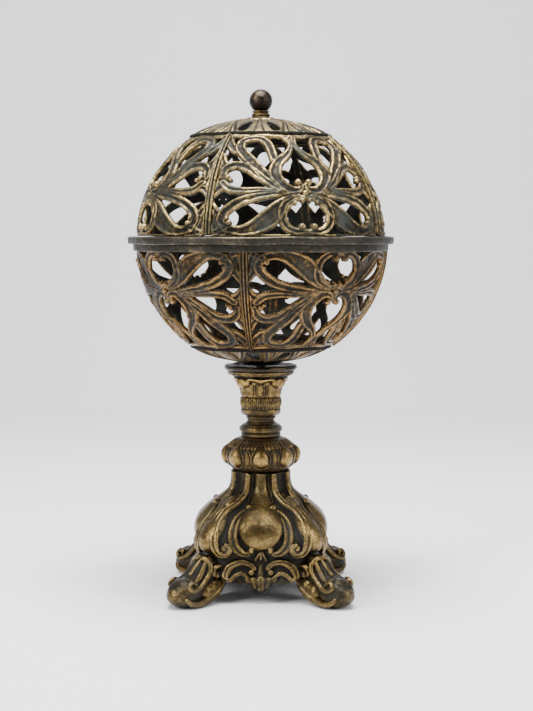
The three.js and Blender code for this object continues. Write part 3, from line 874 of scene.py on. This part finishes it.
def aged_metal(name, middle, bright, dark=SOOT, bias=0.45, relief=0.12, blotch=0.6, speck=0.6, grime=0.35,
               patina=0.0, rough=(0.62, 0.27)):
    """Cast metal: bright where it stands out and has been rubbed, and dark patina where it lies low.

    relief is how much standing out brightens it, and bias shifts all of it to bright. blotch and speck are
    how uneven it is at two scales, grime is how much dull black lies on it, and patina how far it turns
    grey-green in patches. rough is its roughness where dark and where bright.
    """
    material = bpy.data.materials.new(name)
    material.use_nodes = True
    material.node_tree.nodes.clear()
    add = node_maker(material)
    place = add("TexCoord").outputs["Object"]

    def attribute(which):
        return add("Attribute", attribute_name=which).outputs["Fac"]

    def noise(scale, detail, roughness=0.55):
        inputs = {"Vector": place, "Scale": scale, "Detail": detail, "Roughness": roughness}
        return add("TexNoise", inputs).outputs["Fac"]

    def arithmetic(operation, *values, clamp=False):
        return add("Math", dict(enumerate(values)), operation=operation, use_clamp=clamp).outputs[0]

    def span(value, low, high, to_low, to_high):
        inputs = {"Value": value, "From Min": low, "From Max": high, "To Min": to_low, "To Max": to_high}
        return add("MapRange", inputs).outputs[0]

    near = arithmetic("ADD", span(attribute("relief"), 0, 2.4, 0, 2.4 * relief),
                      span(attribute("relief"), -1.6, 0, -1.6 * CAVITY, 0))
    wide = span(attribute("hollow"), *HOLLOW_RANGE, *[WIDE * mark for mark in HOLLOW_RANGE])
    blotches = noise(48, 6, 0.66)
    specks = noise(420, 4, 0.68)
    grain = noise(1500, 2)
    stands_out = arithmetic("ADD", near, wide)
    wear_and_inner_shade = arithmetic("ADD", stands_out, bias)
    wear_and_inner_shade = arithmetic("ADD", wear_and_inner_shade, span(blotches, 0.28, 0.72, -blotch / 2, blotch / 2))
    wear_and_inner_shade = arithmetic("ADD", wear_and_inner_shade, span(specks, 0.25, 0.75, -speck / 2, speck / 2))
    # Faces marked back, on the inside of the hollow castings, are pushed darker here: painted shade inside
    # the globe and base.
    wear_and_inner_shade = arithmetic("MULTIPLY_ADD", attribute("back"), -0.5, wear_and_inner_shade)
    ramp = add("ValToRGB", {"Fac": wear_and_inner_shade})
    stops = ramp.color_ramp.elements
    stops[0].position, stops[0].color = 0.05, (*dark, 1)
    stops[1].position, stops[1].color = 1.0, (*bright, 1)
    stops.new(0.5).color = (*middle, 1)
    soot = arithmetic("MULTIPLY_ADD", stands_out, -0.35, noise(38, 6, 0.7))
    soot = span(soot, 0.66 - grime * 0.4, 0.80 - grime * 0.4, 0, 0.88)
    green = span(noise(55, 4, 0.6), 0.46, 0.60, 0, patina)
    color = add("Mix", {0: green, 6: ramp.outputs["Color"], 7: (*VERDIGRIS, 1)}, data_type="RGBA")
    color = add("Mix", {0: soot, 6: color.outputs[2], 7: (*dark, 1)}, data_type="RGBA")
    roughness = arithmetic("MULTIPLY_ADD", soot, 0.2, span(wear_and_inner_shade, 0.1, 1.0, *rough))
    metal = arithmetic("MULTIPLY_ADD", soot, -0.6, span(wear_and_inner_shade, 0.0, 0.5, 0.45, 1.0), clamp=True)
    metal = arithmetic("MULTIPLY_ADD", green, -0.5, metal, clamp=True)
    height = arithmetic("MULTIPLY_ADD", grain, 0.4, specks)
    bump = add("Bump", {"Height": height, "Strength": 0.75, "Distance": 0.0005}).outputs[0]
    inputs = {"Base Color": color.outputs[2], "Roughness": roughness, "Metallic": metal, "Normal": bump,
              "Specular IOR Level": 0.15}
    add("OutputMaterial", {"Surface": add("BsdfPrincipled", inputs).outputs[0]})
    return material


def matt_paper():
    material = bpy.data.materials.new("backdrop")
    material.use_nodes = True
    shader = material.node_tree.nodes["Principled BSDF"]
    shader.inputs["Base Color"].default_value = (0.80, 0.80, 0.82, 1)
    shader.inputs["Roughness"].default_value = 0.9
    return material


LID_METAL = aged_metal(
    "lid_metal", (0.060, 0.047, 0.026), (0.39, 0.278, 0.115),
    bias=0.37, relief=0.09, blotch=0.9, speck=0.9, grime=0.33, patina=0.75)
CAP_METAL = aged_metal(
    "cap_metal", (0.15, 0.112, 0.055), (0.52, 0.385, 0.165),
    bias=0.55, relief=0.09, blotch=0.7, speck=0.8, grime=0.25, patina=0.4)
BOWL_METAL = aged_metal(
    "bowl_metal", (0.050, 0.032, 0.015), (0.21, 0.125, 0.048),
    bias=0.42, relief=0.09, blotch=0.9, speck=0.9, grime=0.34, patina=0.5)
# The cap under the bowl gets a lighter metal than the bowl: painted light on the underside, standing in for
# light that does not reach it.
BOWL_CAP_PAINTED_LIGHT_METAL = aged_metal(
    "bowl_cap_painted_light_metal", (0.12, 0.078, 0.035), (0.38, 0.235, 0.09),
    bias=0.56, relief=0.09, blotch=0.7, speck=0.8, grime=0.28, patina=0.3)
BASE_METAL = aged_metal(
    "base_metal", (0.048, 0.033, 0.0135), (0.26, 0.175, 0.063),
    bias=0.39, relief=0.07, blotch=0.6, speck=0.35, grime=0.34, patina=0.35, rough=(0.48, 0.2))
FOOT_METAL = aged_metal(
    "foot_metal", (0.030, 0.022, 0.011), (0.18, 0.12, 0.043),
    bias=0.33, relief=0.08, blotch=0.7, speck=0.5, grime=0.47, patina=0.4, rough=(0.48, 0.24))
BRIGHT_METAL = aged_metal(
    "bright_metal", (0.10, 0.066, 0.026), (0.32, 0.21, 0.070),
    bias=0.43, relief=0.08, blotch=0.6, speck=0.5, grime=0.34, rough=(0.5, 0.22))
RIM_METAL = aged_metal(
    "rim_metal", (0.042, 0.038, 0.030), (0.25, 0.19, 0.105),
    bias=0.28, blotch=0.5, speck=0.4)
DARK_METAL = aged_metal(
    "dark_metal", (0.026, 0.021, 0.018), (0.24, 0.17, 0.08),
    bias=0.36, blotch=0.4, speck=0.3, rough=(0.42, 0.2))
STEEL = aged_metal("steel", (0.2, 0.2, 0.2), (0.4, 0.4, 0.4), dark=(0.06, 0.06, 0.06))


# ---- putting it together ----
def finish_piece(piece, name, material, slot, body, *nodes):
    piece.name = name
    piece.data.name = name
    piece.data.materials.clear()
    piece.data.materials.append(material)
    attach(piece, body)
    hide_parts(*nodes)


def make_globe():
    """The bowl has the lid's castings upside down."""
    panel = make_panel()
    rib = make_rib()
    quarter = 360 / QUARTERS
    for number in range(1, QUARTERS + 1):
        for half, turn, flip, centre, metal, slot, body in (
            ("lid", LID_TURN, False, LID_Z, LID_METAL, "lid_brass", "lid"),
            ("bowl", BOWL_TURN, True, BOWL_Z, BOWL_METAL, "bowl_brass", "stand"),
        ):
            angle = turn + (number - 1) * quarter
            copy = turned_copy(panel, "panel", angle, flip, centre)
            finish_piece(copy, f"{half}_scroll_panel_{number}", metal, slot, body, f"{half}_panel_{number}")
            copy = turned_copy(rib, "rib", angle + quarter / 2, flip, centre)
            finish_piece(copy, f"{half}_beaded_rib_{number}", metal, slot, body, f"{half}_rib_{number}")
    for source in (panel, rib):
        bpy.data.objects.remove(source)
    for half, turn, flip, centre, metal, slot, body, hub in (
        ("lid", LID_CAP_TURN, False, LID_Z, CAP_METAL, "lid_brass", "lid", LID_CAP_HUB),
        ("bowl", BOWL_CAP_TURN, True, BOWL_Z, BOWL_CAP_PAINTED_LIGHT_METAL, "bowl_brass", "stand", BOWL_CAP_HUB),
    ):
        source = make_cap(hub)
        copy = turned_copy(source, "cap", turn, flip, centre)
        bpy.data.objects.remove(source)
        finish_piece(copy, f"{half}_pierced_cap", metal, slot, body, f"{half}_cap")


def make_rims():
    lid = [(76.2, 228.8, 0.4), (77.9, 228.8, 0.4), (77.9, 231.3, 0.1), (84.5, 231.3, 0.1),
           (84.9, 230.4, 0.4), (86.7, 230.4, 0.7), (87.3, 233.0, 0.9), (87.0, 235.2, 1.0),
           (83.4, 235.3, 0.3), (82.9, 234.8, 0.3), (76.2, 234.8, 0.4)]
    bowl = [(78.5, 228.2, 0.2), (82.2, 228.2, 0.2), (82.2, 225.9, 0.4), (83.5, 225.9, 0.6),
            (83.7, 230.6, 0.4), (78.5, 230.6, 0.3)]
    piece = turned("rim", lid, 360, uneven=0.34, size=20, seed=2)
    finish_piece(piece, "lid_flange", RIM_METAL, "rim_bronze", "lid_ring", "lid_rim")
    piece = turned("rim", bowl, 360, uneven=0.12, size=30, seed=4)
    finish_piece(piece, "bowl_band", RIM_METAL, "rim_bronze", "stand", "bowl_rim")


def make_finial():
    collar = [(2.5, 310.9, 0), (7.6, 310.9, 0.3), (7.4, 312.0, 0.5), (6.1, 312.7, 0.3), (5.6, 313.4, 0.2),
              (6.2, 313.9, 0.3), (6.0, 314.6, 0.3), (5.0, 315.2, 0.3), (4.9, 315.7, 0.3), (5.7, 316.0, 0.2),
              (5.7, 316.6, 0.2), (4.7, 316.9, 0.1), (2.5, 316.9, 0)]
    piece = turned("collar", collar, 72, uneven=0.05, size=5, longest=0.5)
    finish_piece(piece, "finial_collar", BRIGHT_METAL, "dark_bronze", "lid", "finial")
    ball_r, ball_z, neck_angle, top_angle = 7.6, 323.2, -52, 88
    ball = [(0, 300.5, 0), (2.5, 300.5, 0.3), (2.5, 316.9, 0)]
    for angle in np.radians(np.linspace(neck_angle, top_angle, 26)):
        ball.append((ball_r * math.cos(angle), ball_z + ball_r * math.sin(angle), 0))
    ball.append((0, ball_z + ball_r, 0))
    piece = turned("ball", ball, 72, uneven=0.03, size=8, longest=0.6)
    finish_piece(piece, "ball_finial", DARK_METAL, "dark_bronze", "lid", "finial")


def make_stem():
    disc = [(BORE_R, 147.2, 0), (21.6, 147.2, 0.4), (23.6, 147.8, 0.8), (24.3, 149.4, 0.9),
            (23.6, 150.9, 0.7), (21.8, 150.9, 0.6), (18, 149.6, 0.8), (BORE_R, 149.4, 0)]
    piece = turned("disc", disc, 160, uneven=0.25, size=7, seed=6)
    finish_piece(piece, "dished_disc", DARK_METAL, "dark_bronze", "stand", "top_disc")
    neck = [(BORE_R, 103.4, 0), (12.6, 103.4, 0.4), (13.3, 104.0, 0.5), (13.3, 105.2, 0.5),
            (12.6, 105.7, 0.3), (13.0, 106.3, 0.3), (14.2, 107.0, 0.9), (14.2, 109.6, 0.9),
            (12.8, 110.4, 0.3), (12.4, 111.2, 0.5), (10.4, 112.0, 0.5), (9.9, 112.8, 0.4),
            (9.0, 113.4, 0.5), (9.0, 115.0, 0.4), (9.9, 115.7, 0.3), (9.9, 116.7, 0.3), (BORE_R, 116.7, 0)]
    piece = turned("neck", neck, 160, uneven=0.1, size=6, seed=8, longest=0.6)
    finish_piece(piece, "ringed_neck", BASE_METAL, "base_brass", "stand", "stem_ring")
    finish_piece(make_capital(), "scrolled_capital", BRIGHT_METAL, "base_brass", "stand", "capital")
    finish_piece(make_knop(), "bossed_knop", BRIGHT_METAL, "base_brass", "stand", "knop")


def make_base():
    finish_piece(make_base_body(), "baroque_base", BASE_METAL, "base_brass", "stand", "base")
    foot = make_foot()
    for number, corner in enumerate(("front_right", "back_right", "back_left", "front_left")):
        piece = turned_copy(foot, "foot", number * 90)
        finish_piece(piece, f"scroll_foot_{corner}", FOOT_METAL, "base_brass", "stand", f"foot_{corner}")
    bpy.data.objects.remove(foot)


def dress_cad_nodes():
    """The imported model's own pieces that stay keep their shapes and get a metal."""
    metals = {"globe_seat": DARK_METAL}
    for node in ("tie_rod", "top_washer", "top_nut", "bottom_washer", "bottom_nut",
                 "finial_washer", "finial_nut"):
        metals[node] = STEEL
    for node, metal in metals.items():
        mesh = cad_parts[node].data
        mesh.materials.clear()
        mesh.materials.append(metal)


# ---- studio ----
def make_stage():
    """A sheet of paper that runs under the object and bends up behind it, in metres."""
    front, depth, bend, width, tall = -2.0, 0.9, 0.5, 4.0, 2.6
    outline = [(front, 0.0)]
    for angle in np.linspace(0, math.pi / 2, 24):
        outline.append((depth + bend * math.sin(angle), bend - bend * math.cos(angle)))
    outline.append((depth + bend, tall))
    vertices = [(x, y, z) for y, z in outline for x in (-width, width)]
    faces = [(2 * k, 2 * k + 1, 2 * k + 3, 2 * k + 2) for k in range(len(outline) - 1)]
    mesh = bpy.data.meshes.new("backdrop")
    mesh.from_pydata(vertices, [], faces)
    mesh.shade_smooth()
    mesh.materials.append(matt_paper())
    add_object("backdrop", mesh)


def area_light(name, place, size, watts):
    """A soft light that points at the middle of the object."""
    light = bpy.data.lights.new(name, "AREA")
    light.shape = "RECTANGLE"
    light.size, light.size_y = size
    light.energy = watts
    lamp = add_object(name, light)
    lamp.location = place
    lamp.rotation_euler = (Vector((0, 0, 0.2)) - Vector(place)).to_track_quat("-Z", "Y").to_euler()


def light_scene():
    world = bpy.data.worlds.new("studio")
    bpy.context.scene.world = world
    world.use_nodes = True
    world.node_tree.nodes["Background"].inputs["Color"].default_value = (0.86, 0.87, 0.9, 1)
    world.node_tree.nodes["Background"].inputs["Strength"].default_value = 0.40
    area_light("top", (0.0, -0.15, 1.3), (0.8, 0.7), 54)
    area_light("left", (-1.1, -0.8, 0.9), (0.4, 0.7), 21)
    area_light("right", (1.2, -0.5, 0.7), (0.4, 0.7), 11)


def place_camera():
    camera = bpy.data.cameras.new("camera")
    camera.lens = 74.8
    camera.sensor_width = 36
    camera.shift_x = 0.008
    holder = add_object("camera", camera)
    holder.location = (0, -CAMERA_DISTANCE * MM, CAMERA_HEIGHT * MM)
    holder.rotation_euler = (math.radians(90 - CAMERA_TILT), 0, 0)
    bpy.context.scene.camera = holder


make_globe()
make_rims()
make_finial()
make_stem()
make_base()
dress_cad_nodes()
make_stage()
light_scene()
place_camera()
